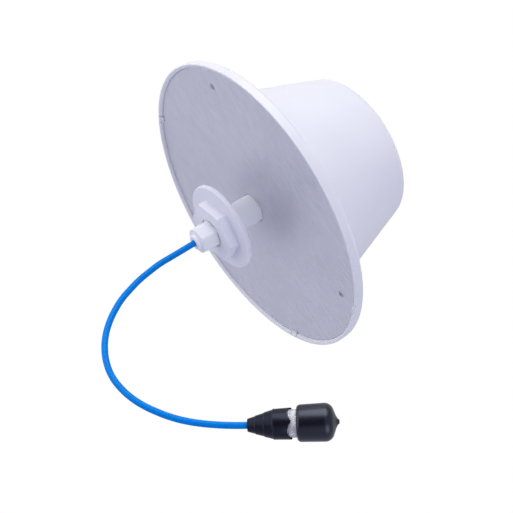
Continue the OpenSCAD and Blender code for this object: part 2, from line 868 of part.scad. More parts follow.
// Section of the jack: stem in the ferrule, hub, ring and barrel
module jack_section() {
    stem_r = ferrule_bore_r - seat_fit;
    bore_r = stem_bore_d / 2;
    barrel_r = barrel_d / 2;
    polygon([[bore_r, cable_end], [stem_r, cable_end], [stem_r, hub_start], [hub_d / 2, hub_start],
        [hub_d / 2, ring_start], [ring_d / 2, ring_start], [ring_d / 2, ring_end],
        [barrel_r, ring_end], [barrel_r, barrel_end - barrel_chamfer],
        [barrel_r - barrel_chamfer, barrel_end], [barrel_bore_d / 2, barrel_end],
        [barrel_bore_d / 2, bead_start], [bore_r, bead_start]]);
}

module jack_body() {
    color("silver")
    on_jack()
        rotate_extrude()
            jack_section();
}

module jack_insulator() {
    color("white")
    on_jack()
        translate([0, 0, bead_start])
            difference() {
                cylinder(d = barrel_bore_d - 2 * seat_fit, h = bead_len);
                translate([0, 0, -eps])
                    cylinder(r = bead_bore_r, h = bead_len + 2 * eps);
            }
}

module jack_contact() {
    pin_r = bead_bore_r - seat_fit;
    hole_depth = (socket_end - bead_end) / 2;
    color("gold")
    on_jack()
        difference() {
            union() {
                translate([0, 0, hub_start])
                    cylinder(r = pin_r, h = bead_end - hub_start + eps);
                translate([0, 0, bead_end])
                    cylinder(d = socket_d, h = socket_end - bead_end);
            }
            translate([0, 0, socket_end - hole_depth])
                cylinder(d = socket_bore_d, h = hole_depth + eps);
        }
}

// Section of the dust cap: a slightly flaring sleeve, a round shoulder, a cone and a nipple
module cap_section() {
    bore_r = barrel_d / 2 + seat_fit;
    open_r = cap_open_d / 2;
    far_r = cap_far_d / 2;
    shoulder_z = cap_start + cap_side_len;
    cone_r = far_r - cap_shoulder_r + cap_shoulder_r * sin(cap_slope);
    cone_z = shoulder_z + cap_shoulder_r * cos(cap_slope);
    foot_r = nipple_foot_d / 2;
    foot_z = cone_z + (cone_r - foot_r) * tan(cap_slope);
    nipple_r = nipple_d / 2;
    nipple_z = foot_z + nipple_h;
    difference() {
        union() {
            polygon([[0, cap_start], [open_r - cap_edge_r, cap_start], [open_r, cap_start + cap_edge_r],
                [far_r, shoulder_z], [cone_r, cone_z], [foot_r, foot_z], [nipple_r, nipple_z],
                [0, nipple_z]]);
            translate([open_r - cap_edge_r, cap_start + cap_edge_r])
                circle(cap_edge_r);
            translate([far_r - cap_shoulder_r, shoulder_z])
                circle(cap_shoulder_r);
            translate([0, nipple_z])
                circle(nipple_r);
        }
        translate([0, cap_start - eps])
            square([bore_r, barrel_end + soft_fit + eps - cap_start]);
    }
}

module dust_cap() {
    color("black")
    on_jack()
        rotate_extrude()
            intersection() {
                cap_section();
                outer_half();
            }
}

radome();
ground_plate();
plate_screws();
clinch_studs();
mounting_stud();
mounting_nut();
gland_nut();
gland_seal();
feed_cable();
grounding_disc();
flange_nuts();
standoff_post(0);  // standoff_post_1
standoff_post(1);  // standoff_post_2
standoff_post(2);  // standoff_post_3
radiator_cone();
post_screws();
feed_insulator();
feed_pin();
feed_nut();
pigtail_cable();
cable_boot();
crimp_ferrule();
jack_body();
jack_insulator();
jack_contact();
dust_cap();
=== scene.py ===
"""Looks of an indoor ceiling antenna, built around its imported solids.

Lengths are metres in the part's own frame: +Z runs up the stud, and z = 0 is the plane of the lip.
"""

import json
import logging
import math
from dataclasses import dataclass
from enum import Enum

import bmesh
import bpy
from mathutils import Matrix, Vector


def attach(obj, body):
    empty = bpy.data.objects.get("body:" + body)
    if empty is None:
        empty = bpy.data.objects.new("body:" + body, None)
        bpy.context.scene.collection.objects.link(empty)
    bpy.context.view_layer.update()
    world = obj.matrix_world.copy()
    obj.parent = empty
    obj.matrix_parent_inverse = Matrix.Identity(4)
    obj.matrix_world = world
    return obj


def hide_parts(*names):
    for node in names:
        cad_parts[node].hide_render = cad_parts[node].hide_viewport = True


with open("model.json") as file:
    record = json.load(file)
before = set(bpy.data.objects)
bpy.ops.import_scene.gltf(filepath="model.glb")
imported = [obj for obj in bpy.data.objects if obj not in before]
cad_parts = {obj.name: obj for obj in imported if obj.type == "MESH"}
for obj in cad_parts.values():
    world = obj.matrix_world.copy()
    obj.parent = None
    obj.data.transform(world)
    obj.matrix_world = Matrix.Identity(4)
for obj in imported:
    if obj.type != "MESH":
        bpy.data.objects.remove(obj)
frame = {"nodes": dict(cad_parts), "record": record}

LOG = logging.getLogger("ceiling_antenna")
MM = 0.001
BODY_ANTENNA = "antenna"
BODY_NUT = "nut"
FULL_TURN = 2 * math.pi
HEX_STEP = math.pi / 3
# A point this near to the axis lies on it
ON_AXIS = 1e-7
# Most of a noise's values lie between these two
NOISE_LOW = 0.3
NOISE_HIGH = 0.7
PLASTIC_IOR = 1.5

Shade = tuple[float, float, float]
Spot = tuple[float, float, float]
Socket = bpy.types.NodeSocket
Material = bpy.types.Material
Piece = bpy.types.Object


class Grain(Enum):
    """How the marks of making lie on a metal surface."""

    STRAIGHT = "straight"
    TURNED = "turned"


class Surface:
    """Shader nodes of one material, laid out around its principled shader."""

    def __init__(self, name: str) -> None:
        """Starts a material with a principled shader and object coordinates.

        Args:
            name: Name of the material.
        """
        self.material = bpy.data.materials.new(name)
        self.material.use_nodes = True
        self.tree = self.material.node_tree
        self.tree.nodes.clear()
        output = self.add("ShaderNodeOutputMaterial")
        self.shader = self.add("ShaderNodeBsdfPrincipled")
        self.coords = self.add("ShaderNodeTexCoord").outputs["Object"]
        self.link(self.shader.outputs["BSDF"], output.inputs["Surface"])
        self.normal: Socket | None = None

    def add(self, kind: str) -> bpy.types.Node:
        """Returns a new shader node of the given kind."""
        return self.tree.nodes.new(kind)

    def link(self, source: Socket, target: Socket) -> None:
        """Leads the value of one node into another node."""
        self.tree.links.new(source, target)

    def set(self, socket: str, value: float) -> None:
        """Sets a number that is the same all over the surface."""
        self.shader.inputs[socket].default_value = value

    def shade(self, socket: str, shade: Shade) -> None:
        """Sets a colour that is the same all over the surface."""
        self.shader.inputs[socket].default_value = (*shade, 1.0)

    def texture(self, place: Socket, detail: float) -> Socket:
        """Adds noise at the given coordinates.

        Args:
            place: Coordinates, with one cell of noise to the unit.
            detail: Octaves of finer noise.

        Returns:
            The noise value.
        """
        texture = self.add("ShaderNodeTexNoise")
        texture.inputs["Scale"].default_value = 1.0
        texture.inputs["Detail"].default_value = detail
        self.link(place, texture.inputs["Vector"])
        return texture.outputs["Fac"]

    def streaks(self, scale: Spot, detail: float, turn: float = 0.0) -> Socket:
        """Adds noise over the object, with its own scale along each axis.

        Args:
            scale: Cells per metre along each axis.
            detail: Octaves of finer noise.
            turn: Angle about Z of the first axis, in radians.

        Returns:
            The noise value.
        """
        turned = self.add("ShaderNodeMapping")
        turned.inputs["Rotation"].default_value = (0.0, 0.0, -turn)
        scaled = self.add("ShaderNodeMapping")
        scaled.inputs["Scale"].default_value = scale
        self.link(self.coords, turned.inputs["Vector"])
        self.link(turned.outputs["Vector"], scaled.inputs["Vector"])
        return self.texture(scaled.outputs["Vector"], detail)

    def noise(self, cells: float, detail: float) -> Socket:
        """Returns noise over the object, with its cells per metre and octaves of finer noise given."""
        return self.streaks((cells, cells, cells), detail)

    def rings(self, density: float, detail: float) -> Socket:
        """Adds the fine rings that turning leaves about the Z axis.

        Args:
            density: Rings per metre.
            detail: Octaves of finer noise.

        Returns:
            The ring value.
        """
        split = self.add("ShaderNodeSeparateXYZ")
        flat = self.add("ShaderNodeCombineXYZ")
        length = self.add("ShaderNodeVectorMath")
        length.operation = "LENGTH"
        place = self.add("ShaderNodeCombineXYZ")
        scaled = self.add("ShaderNodeVectorMath")
        scaled.operation = "SCALE"
        scaled.inputs["Scale"].default_value = density
        self.link(self.coords, split.inputs["Vector"])
        self.link(split.outputs["X"], flat.inputs["X"])
        self.link(split.outputs["Y"], flat.inputs["Y"])
        self.link(flat.outputs["Vector"], length.inputs[0])
        self.link(length.outputs["Value"], place.inputs["X"])
        self.link(split.outputs["Z"], place.inputs["Z"])
        self.link(place.outputs["Vector"], scaled.inputs[0])
        return self.texture(scaled.outputs["Vector"], detail)

    def mixed(self, first: Socket, second: Socket, share: float) -> Socket:
        """Blends two values.

        Args:
            first: One value.
            second: The other value.
            share: Share of the second one.

        Returns:
            The blend.
        """
        blend = self.add("ShaderNodeMix")
        blend.inputs["Factor"].default_value = share
        self.link(first, blend.inputs["A"])
        self.link(second, blend.inputs["B"])
        return blend.outputs["Result"]

    def colour(self, value: Socket, dark: Shade, light: Shade) -> None:
        """Colours the surface between two shades.

        Args:
            value: Value that picks the shade.
            dark: Shade where the value is low.
            light: Shade where the value is high.
        """
        ramp = self.add("ShaderNodeValToRGB")
        stops = ramp.color_ramp.elements
        stops[0].position = NOISE_LOW
        stops[0].color = (*dark, 1.0)
        stops[1].position = NOISE_HIGH
        stops[1].color = (*light, 1.0)
        self.link(value, ramp.inputs["Fac"])
        self.link(ramp.outputs["Color"], self.shader.inputs["Base Color"])

    def roughness(self, value: Socket, low: float, high: float) -> None:
        """Varies the roughness over the surface.

        Args:
            value: Value that it follows.
            low: Roughness where the value is low.
            high: Roughness where the value is high.
        """
        spread = self.add("ShaderNodeMapRange")
        spread.inputs["From Min"].default_value = NOISE_LOW
        spread.inputs["From Max"].default_value = NOISE_HIGH
        spread.inputs["To Min"].default_value = low
        spread.inputs["To Max"].default_value = high
        self.link(value, spread.inputs["Value"])
        self.link(spread.outputs["Result"], self.shader.inputs["Roughness"])

    def bump(self, value: Socket, depth: float, strength: float) -> None:
        """Raises the surface by the value, over any relief that it has already.

        Args:
            value: Height from 0 to 1.
            depth: Height of the relief.
            strength: Share of the relief that shows.
        """
        relief = self.add("ShaderNodeBump")
        relief.inputs["Distance"].default_value = depth
        relief.inputs["Strength"].default_value = strength
        self.link(value, relief.inputs["Height"])
        if self.normal is not None:
            self.link(self.normal, relief.inputs["Normal"])
        self.normal = relief.outputs["Normal"]
        self.link(self.normal, self.shader.inputs["Normal"])


@dataclass(frozen=True)
class Finish:
    """What every finish has.

    Attributes:
        name: Slot of the record that it is for.
        dark: Darkest shade.
        light: Lightest shade.
        smooth: Lowest roughness.
        rough: Highest roughness.
    """

    name: str
    dark: Shade
    light: Shade
    smooth: float
    rough: float

    def make(self) -> Material:
        """Returns the material, which each kind of finish makes in its own way."""
        raise NotImplementedError


@dataclass(frozen=True)
class MouldedPlastic(Finish):
    """Satin moulded plastic: a fine spark-eroded grain and a faint cloudiness.

    Attributes:
        cloud: Clouds per metre.
        grain: Grains per metre.
        grain_depth: Height of the grain.
        grain_share: Share of the grain's relief that shows.
    """

    smooth: float = 0.36
    rough: float = 0.46
    cloud: float = 28.0
    grain: float = 2600.0
    grain_depth: float = 0.02 * MM
    grain_share: float = 0.35

    def make(self) -> Material:
        """Makes the plastic.

        Returns:
            The material.
        """
        surface = Surface(self.name)
        cloud = surface.noise(self.cloud, detail=2.0)
        grain = surface.noise(self.grain, detail=2.0)
        surface.colour(cloud, self.dark, self.light)
        surface.roughness(grain, self.smooth, self.rough)
        surface.bump(grain, self.grain_depth, self.grain_share)
        surface.set("IOR", PLASTIC_IOR)
        return surface.material


@dataclass(frozen=True)
class WorkedMetal(Finish):
    """Metal with the marks of brushing, turning or plating.

    Attributes:
        marks: How the marks lie.
        density: Marks per metre, counted across them.
        along: Straight marks per metre, counted along them.
        turn: Direction of straight marks about Z, in radians.
        relief: Height of the marks.
        cloud: Clouds per metre.
        cloud_share: Share of the clouds in the colour.
    """

    marks: Grain = Grain.TURNED
    density: float = 4000.0
    along: float = 120.0
    turn: float = 0.0
    relief: float = 0.003 * MM
    cloud: float = 12.0
    cloud_share: float = 0.35

    def make(self) -> Material:
        """Makes the metal.

        Returns:
            The material.
        """
        surface = Surface(self.name)
        if self.marks is Grain.STRAIGHT:
            lines = surface.streaks((self.along, self.density, self.density), 4.0, self.turn)
        else:
            lines = surface.rings(self.density, detail=2.0)
        clouds = surface.noise(self.cloud, detail=3.0)
        surface.colour(surface.mixed(lines, clouds, self.cloud_share), self.dark, self.light)
        surface.roughness(lines, self.smooth, self.rough)
        surface.bump(lines, self.relief, strength=1.0)
        surface.set("Metallic", 1.0)
        return surface.material


@dataclass(frozen=True)
class SoftSkin(Finish):
    """Rubber or dipped vinyl: slow waves from moulding under a fine texture.

    Attributes:
        wave_depth: Height of the waves.
        texture: Cells of the texture per metre.
        gloss: Strength of the mirrored light.
        painted_sheen_tint: Colour of the mirrored light; where it is bluish, it is a painted sheen that
            stands in for the room's bluish light.
        wave: Waves per metre.
        wave_share: Share of the waves' relief that shows.
        texture_depth: Height of the texture.
        texture_share: Share of the texture's relief that shows.
    """

    wave_depth: float
    texture: float
    gloss: float
    painted_sheen_tint: Shade = (1.0, 1.0, 1.0)
    wave: float = 160.0
    wave_share: float = 0.4
    texture_depth: float = 0.005 * MM
    texture_share: float = 0.3

    def make(self) -> Material:
        """Makes the skin.

        Returns:
            The material.
        """
        surface = Surface(self.name)
        waves = surface.noise(self.wave, detail=1.0)
        fine = surface.noise(self.texture, detail=3.0)
        surface.colour(fine, self.dark, self.light)
        surface.roughness(fine, self.smooth, self.rough)
        surface.bump(waves, self.wave_depth, self.wave_share)
        surface.bump(fine, self.texture_depth, self.texture_share)
        surface.set("IOR", PLASTIC_IOR)
        surface.set("Specular IOR Level", self.gloss)
        # Painted sheen: this colours the mirrored light, standing in for the room's bluish light
        surface.shade("Specular Tint", self.painted_sheen_tint)
        return surface.material


def add_object(name: str, data: bpy.types.ID) -> Piece:
    """Adds an object to the scene.

    Args:
        name: Name of the object.
        data: Its mesh, curve or camera.

    Returns:
        The new object.
    """
    piece = bpy.data.objects.new(name, data)
    bpy.context.scene.collection.objects.link(piece)
    return piece


def dress(piece: Piece, material: Material) -> None:
    """Gives a piece its material, in every slot that it has.

    Args:
        piece: The piece.
        material: Its material.
    """
    if not piece.material_slots:
        piece.data.materials.append(material)
    for slot in piece.material_slots:
        slot.material = material


def settle(piece: Piece, place: Matrix, body: str, node: str, material: Material) -> Piece:
    """Places a new piece, dresses it and lets it stand for a solid.

    Args:
        piece: The new piece.
        place: Where it goes in the part's frame.
        body: Body that it moves with.
        node: Solid that it stands for.
        material: Its material.

    Returns:
        The piece.
    """
    piece.matrix_world = place
    dress(piece, material)
    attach(piece, body)
    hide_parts(node)
    LOG.info("%s stands for %s", piece.name, node)
    return piece


@dataclass(frozen=True)
class Corner:
    """One corner of a turned outline, about the Z axis.

    Attributes:
        r: Radius, or half the width across the flats of a hexagon.
        z: Height.
        bend: Radius of the rounding at this corner.
        hexed: Whether the outline is a hexagon here.
        trim: Radius that a turned chamfer leaves of the hexagon's corners, or 0 for none.
    """

    r: float
    z: float
    bend: float = 0.0
    hexed: bool = False
    trim: float = 0.0


@dataclass
class TurnedPiece:
    """A piece that is turned from an outline about its own Z axis and stands for a solid.

    Attributes:
        name: Name of the piece.
        node: Solid that it stands for.
        slot: Material slot of the record.
        body: Body that it moves with.
        closed: Whether the outline's end joins its start.
        rest_z: Height of the outline's zero on the axis.
        turn: Turn about the axis.
        sides: Points round the axis.
        arc_steps: Steps in each rounding of the outline.
        hex_corner: Radius of a hexagon's upright corners.
        sharp_angle: Angle between faces from which their edge stays sharp.
    """

    name: str
    node: str
    slot: str
    body: str = BODY_ANTENNA
    closed: bool = True
    rest_z: float = 0.0
    turn: float = 0.0
    sides: int = 240
    arc_steps: int = 5
    hex_corner: float = 0.8 * MM
    sharp_angle: float = math.radians(38.0)

    def outline(self) -> list[Corner]:
        """Returns the outline, which each piece draws in its own way."""
        raise NotImplementedError

    def shaped(self, point: Vector) -> Vector:
        """Returns where a point of the turned shape goes, if the piece isn't round all over."""
        return point

    def hexagon(self, angle: float, half: float) -> float:
        """Measures a hexagon with rounded corners.

        Args:
            angle: Angle about the axis.
            half: Half its width across the flats.

        Returns:
            The radius at that angle.
        """
        from_flat = abs((angle % HEX_STEP) - HEX_STEP / 2)
        corner = min(self.hex_corner, half)
        tangent = math.atan((half - corner) * math.tan(HEX_STEP / 2) / half)
        if from_flat <= tangent:
            return half / math.cos(from_flat)
        centre = (half - corner) / math.cos(HEX_STEP / 2)
        aside = HEX_STEP / 2 - from_flat
        reach = corner * corner - (centre * math.sin(aside)) ** 2
        return centre * math.cos(aside) + math.sqrt(max(reach, 0.0))

    def softened(self) -> list[Corner]:
        """Replaces each corner of the outline that has a bend by points on an arc.

        Returns:
            The outline with its round corners.
        """
        corners = self.outline()
        softened: list[Corner] = []
        count = len(corners)
        for i, corner in enumerate(corners):
            inner = self.closed or 0 < i < count - 1
            if corner.bend <= 0 or not inner:
                softened.append(corner)
                continue
            here = Vector((corner.r, corner.z))
            before = corners[i - 1]
            after = corners[(i + 1) % count]
            back = (Vector((before.r, before.z)) - here).normalized()
            ahead = (Vector((after.r, after.z)) - here).normalized()
            half_angle = math.acos(max(-1.0, min(1.0, back.dot(ahead)))) / 2
            reach = corner.bend / math.tan(half_angle)
            centre = here + (back + ahead).normalized() * (corner.bend / math.sin(half_angle))
            start = here + back * reach - centre
            end = here + ahead * reach - centre
            sweep = start.angle_signed(end)
            for k in range(self.arc_steps + 1):
                turn = Matrix.Rotation(-sweep * k / self.arc_steps, 2)
                point = centre + turn @ start
                softened.append(Corner(point.x, point.y, 0.0, corner.hexed, corner.trim))
        return softened

    def radius(self, corner: Corner, angle: float) -> float:
        """Measures the piece at a corner of its outline.

        Args:
            corner: The corner.
            angle: Angle about the axis.

        Returns:
            The radius at that angle.
        """
        if not corner.hexed:
            return corner.r
        radius = self.hexagon(angle, corner.r)
        return min(radius, corner.trim) if corner.trim > 0 else radius

    def rings(self) -> list[list[Vector]]:
        """Takes the outline round the axis.

        Returns:
            A ring of points for each corner, or one point where the outline meets the axis.
        """
        rings: list[list[Vector]] = []
        for corner in self.softened():
            ring: list[Vector] = []
            for k in range(1 if corner.r < ON_AXIS else self.sides):
                angle = FULL_TURN * k / self.sides
                radius = self.radius(corner, angle)
                point = Vector((radius * math.cos(angle), radius * math.sin(angle), corner.z))
                ring.append(self.shaped(point))
            rings.append(ring)
        return rings

    def turned(self) -> Piece:
        """Joins the rings of points into a mesh.

        Returns:
            The new piece, smooth but for its sharp edges.
        """
        rings = self.rings()
        points: list[Vector] = []
        starts: list[int] = []
        for ring in rings:
            starts.append(len(points))
            points.extend(ring)
        faces: list[tuple[int, ...]] = []
        count = len(rings)
        for i in range(count if self.closed else count - 1):
            j = (i + 1) % count
            for k in range(self.sides):
                m = (k + 1) % self.sides
                low = (starts[i] + k, starts[i] + m)
                high = (starts[j] + k, starts[j] + m)
                if len(rings[i]) == 1:
                    faces.append((starts[i], high[1], high[0]))
                elif len(rings[j]) == 1:
                    faces.append((low[0], low[1], starts[j]))
                else:
                    faces.append((low[0], low[1], high[1], high[0]))
        mesh = bpy.data.meshes.new(self.name)
        mesh.from_pydata(points, [], faces)
        mesh.validate()
        mesh.polygons.foreach_set("use_smooth", [True] * len(mesh.polygons))
        mesh.set_sharp_from_angle(angle=self.sharp_angle)
        return add_object(self.name, mesh)

    def build(self, axis: Matrix, finishes: dict[str, Material]) -> Piece:
        """Makes the piece, dresses it and puts it on its axis.

        Args:
            axis: Place of the axis in the part's frame.
            finishes: Materials by slot.

        Returns:
            The piece.
        """
        place = axis @ Matrix.Translation((0.0, 0.0, self.rest_z)) @ Matrix.Rotation(self.turn, 4, "Z")
        return settle(self.turned(), place, self.body, self.node, finishes[self.slot])


@dataclass(frozen=True)
class Patch:
    """A soft patch of light or shade in the room around the part.

    Attributes:
        towards: Direction from the part to the middle of the patch.
        full: Angle from the middle within which the patch has its own tone.
        faded: Angle from the middle at which it has faded into the tone around it.
        tone: Light that comes from it.
    """

    towards: Spot
    full: float
    faded: float
    tone: Shade


@dataclass
class Studio:
    """Camera, soft light and plain white stage, with the room's patches in the order they are laid."""

    aim: Spot = (-0.0220, 0.0193, 0.0119)
    azimuth: float = math.radians(-30.0)
    elevation: float = math.radians(23.11)
    roll: float = math.radians(-121.79)
    distance: float = 0.8
    lens_mm: float = 84.21
    sensor_mm: float = 36.0
    view_reach: float = 320.0
    floor_z: float = -1.2
    floor_half: float = 60.0
    backdrop_r: float = 80.0
    backdrop_steps: int = 4
    white: Shade = (1.0, 1.0, 1.0)
    room: Shade = (0.55, 0.56, 0.68)
    patches: tuple[Patch, ...] = (
        Patch((0.40, 0.45, -0.80), math.radians(20.0), math.radians(65.0), (0.6, 0.6, 0.6)),
        Patch((-0.04, -0.80, 0.60), math.radians(15.0), math.radians(40.0), (0.05, 0.05, 0.1)),
        Patch((0.72, -0.35, 0.60), math.radians(32.0), math.radians(50.0), (1.5, 1.5, 1.6)),
        Patch((-0.96, -0.25, 0.10), math.radians(10.0), math.radians(29.0), (2.3, 2.3, 2.7)),
        Patch((0.41, -0.82, -0.39), math.radians(16.0), math.radians(33.0), (3.9, 3.9, 3.9)),
    )

    def make_camera(self) -> None:
        """Makes the camera."""
        level = math.cos(self.elevation)
        back = Vector((
            math.sin(self.azimuth) * level,
            -math.cos(self.azimuth) * level,
            math.sin(self.elevation),
        ))
        upright = (-back).to_track_quat("-Z", "Y").to_matrix().to_4x4()
        data = bpy.data.cameras.new("camera")
        data.lens = self.lens_mm
        data.sensor_width = self.sensor_mm
        data.clip_end = self.view_reach
        camera = add_object("camera", data)
        place = Matrix.Translation(Vector(self.aim) + back * self.distance)
        camera.matrix_world = place @ upright @ Matrix.Rotation(self.roll, 4, "Z")
        bpy.context.scene.camera = camera

    def lay_patch(
        self, tree: bpy.types.NodeTree, direction: Socket, tone: Socket, patch: Patch
    ) -> Socket:
        """Lays a patch over the tone of the room.

        Args:
            tree: Shader nodes of the room.
            direction: Direction that the light comes from.
            tone: Light without the patch.
            patch: The patch.

        Returns:
            The light with the patch.
        """
        nearness = tree.nodes.new("ShaderNodeVectorMath")
        nearness.operation = "DOT_PRODUCT"
        nearness.inputs[1].default_value = Vector(patch.towards).normalized()
        fade = tree.nodes.new("ShaderNodeMapRange")
        fade.interpolation_type = "SMOOTHSTEP"
        fade.inputs["From Min"].default_value = math.cos(patch.faded)
        fade.inputs["From Max"].default_value = math.cos(patch.full)
        blend = tree.nodes.new("ShaderNodeMixRGB")
        blend.inputs["Color2"].default_value = (*patch.tone, 1.0)
        tree.links.new(direction, nearness.inputs[0])
        tree.links.new(nearness.outputs["Value"], fade.inputs["Value"])
        tree.links.new(fade.outputs["Result"], blend.inputs["Fac"])
        tree.links.new(tone, blend.inputs["Color1"])
        return blend.outputs["Color"]

    def make_surround(self) -> None:
        """Makes the room's light: an even tone with soft patches, plain white to the camera."""
        world = bpy.data.worlds.new("surround")
        world.use_nodes = True
        tree = world.node_tree
        direction = tree.nodes.new("ShaderNodeTexCoord").outputs["Generated"]
        even = tree.nodes.new("ShaderNodeRGB")
        even.outputs["Color"].default_value = (*self.room, 1.0)
        tone = even.outputs["Color"]
        for patch in self.patches:
            tone = self.lay_patch(tree, direction, tone, patch)
        seen = tree.nodes.new("ShaderNodeLightPath").outputs["Is Camera Ray"]
        plain = tree.nodes.new("ShaderNodeMixRGB")
        plain.inputs["Color2"].default_value = (*self.white, 1.0)
        tree.links.new(seen, plain.inputs["Fac"])
        tree.links.new(tone, plain.inputs["Color1"])
        tree.links.new(plain.outputs["Color"], tree.nodes["Background"].inputs["Color"])
        bpy.context.scene.world = world
        bpy.context.scene.view_settings.view_transform = "Standard"

    def make_white(self, name: str) -> Material:
        """Makes a plain white that gives off its own light and takes none.

        Args:
            name: Name of the material.

        Returns:
            The material.
        """
        surface = Surface(name)
        surface.shade("Base Color", (0.0, 0.0, 0.0))
        surface.shade("Emission Color", self.white)
        surface.set("Emission Strength", 1.0)
        surface.set("Specular IOR Level", 0.0)
        return surface.material

    def set_stage(self, name: str, mesh: bpy.types.Mesh) -> None:
        """Adds a white piece of the stage, which the part neither mirrors nor takes light from.

        Args:
            name: Name of the piece.
            mesh: Its shape.
        """
        piece = add_object(name, mesh)
        piece.visible_diffuse = False
        piece.visible_glossy = False
        piece.visible_shadow = False
        dress(piece, self.make_white(name + "_white"))

    def make_stage(self) -> None:
        """Makes the plain floor, far below the hanging part, and the backdrop all round it."""
        half = self.floor_half
        floor = bpy.data.meshes.new("floor")
        corners = [(-half, -half), (half, -half), (half, half), (-half, half)]
        floor.from_pydata([(x, y, self.floor_z) for x, y in corners], [], [(0, 1, 2, 3)])
        self.set_stage("floor", floor)
        shell = bmesh.new()
        bmesh.ops.create_icosphere(shell, subdivisions=self.backdrop_steps, radius=self.backdrop_r)
        bmesh.ops.reverse_faces(shell, faces=shell.faces)
        backdrop = bpy.data.meshes.new("backdrop")
        shell.to_mesh(backdrop)
        shell.free()
        self.set_stage("backdrop", backdrop)

    def build(self) -> None:
        """Builds the whole studio."""
        self.make_camera()
        self.make_surround()
        self.make_stage()


@dataclass
class Pigtail:
    """Blue cable from the gland's exit to the jack, and the jack's own axis.

    Attributes:
        exit_z: Height at which the cable leaves the gland.
        diameter: Thickness of the cable.
        crimp_at: How far the cable runs inside the boot.
        jack_dip: Angle of the jack's axis below the level.
        jack_aside: Angle of the jack's axis about Z, from straight ahead.
        steps_along: Steps from one point of the route to the next.
        steps_round: Fineness of the cable's section.
        route_mm: Points from the exit to the boot, in millimetres.
    """

    exit_z: float = 46.8 * MM
    diameter: float = 4.14 * MM
    crimp_at: float = 12.0 * MM
    jack_dip: float = math.radians(50.0)
    jack_aside: float = math.radians(12.0)
    steps_along: int = 10
    steps_round: int = 6
    route_mm: tuple[Spot, ...] = (
        (0, 0, 0), (0, 0, 9), (0, 0, 18), (0, 0, 27), (-1, 0, 36), (-2.5, 0, 45), (-5, 0, 54),
        (-8, 0, 62.5), (-12.5, 0, 71), (-18, 0, 79), (-25, 0, 86.5), (-33, 0, 92.5), (-42, 0, 97),
        (-51, 0, 99.5), (-60, 0, 100), (-69, 0, 99), (-78, 0, 96.5), (-87, 0, 92.5), (-95, 0, 88),
        (-103, -0.5, 82.5), (-110, -1, 76.5), (-116.5, -1.5, 70), (-122.5, -2.2, 63.5), (-128, -3, 57),
    )

    def points(self) -> list[Vector]:
        """Places the cable's points in the part's frame.

        Returns:
            The points, to the cable's end in the crimp.
        """
        start = Vector((0.0, 0.0, self.exit_z))
        route = [start + Vector(p) * MM for p in self.route_mm]
        return route + [route[-1] + self.jack_place().to_3x3().col[2] * self.crimp_at]

    def jack_place(self) -> Matrix:
        """Places the jack's axis, which starts at the boot's cable end.

        Returns:
            The place, with Z along the axis.
        """
        end = Vector((0.0, 0.0, self.exit_z)) + Vector(self.route_mm[-1]) * MM
        aside = Matrix.Rotation(math.pi + self.jack_aside, 4, "Z")
        dip = Matrix.Rotation(math.pi / 2 + self.jack_dip, 4, "Y")
        return Matrix.Translation(end) @ aside @ dip

    def length(self) -> float:
        """Returns the cable's length along its points."""
        points = self.points()
        return sum((b - a).length for a, b in zip(points, points[1:]))

    def build(self, material: Material) -> Piece:
        """Makes the cable as a curve.

        Args:
            material: Its finish.

        Returns:
            The cable.
        """
        data = bpy.data.curves.new("pigtail", "CURVE")
        data.dimensions = "3D"
        data.resolution_u = self.steps_along
        data.bevel_depth = self.diameter / 2
        data.bevel_resolution = self.steps_round
        data.use_fill_caps = True
        spline = data.splines.new("BEZIER")
        points = self.points()
        spline.bezier_points.add(len(points) - 1)
        for knot, point in zip(spline.bezier_points, points):
            knot.co = point
            knot.handle_left_type = "AUTO"
            knot.handle_right_type = "AUTO"
        cable = add_object("pigtail", data)
        return settle(cable, Matrix.Identity(4), BODY_ANTENNA, "pigtail_cable", material)

    def declare(self) -> None:
        self.length()


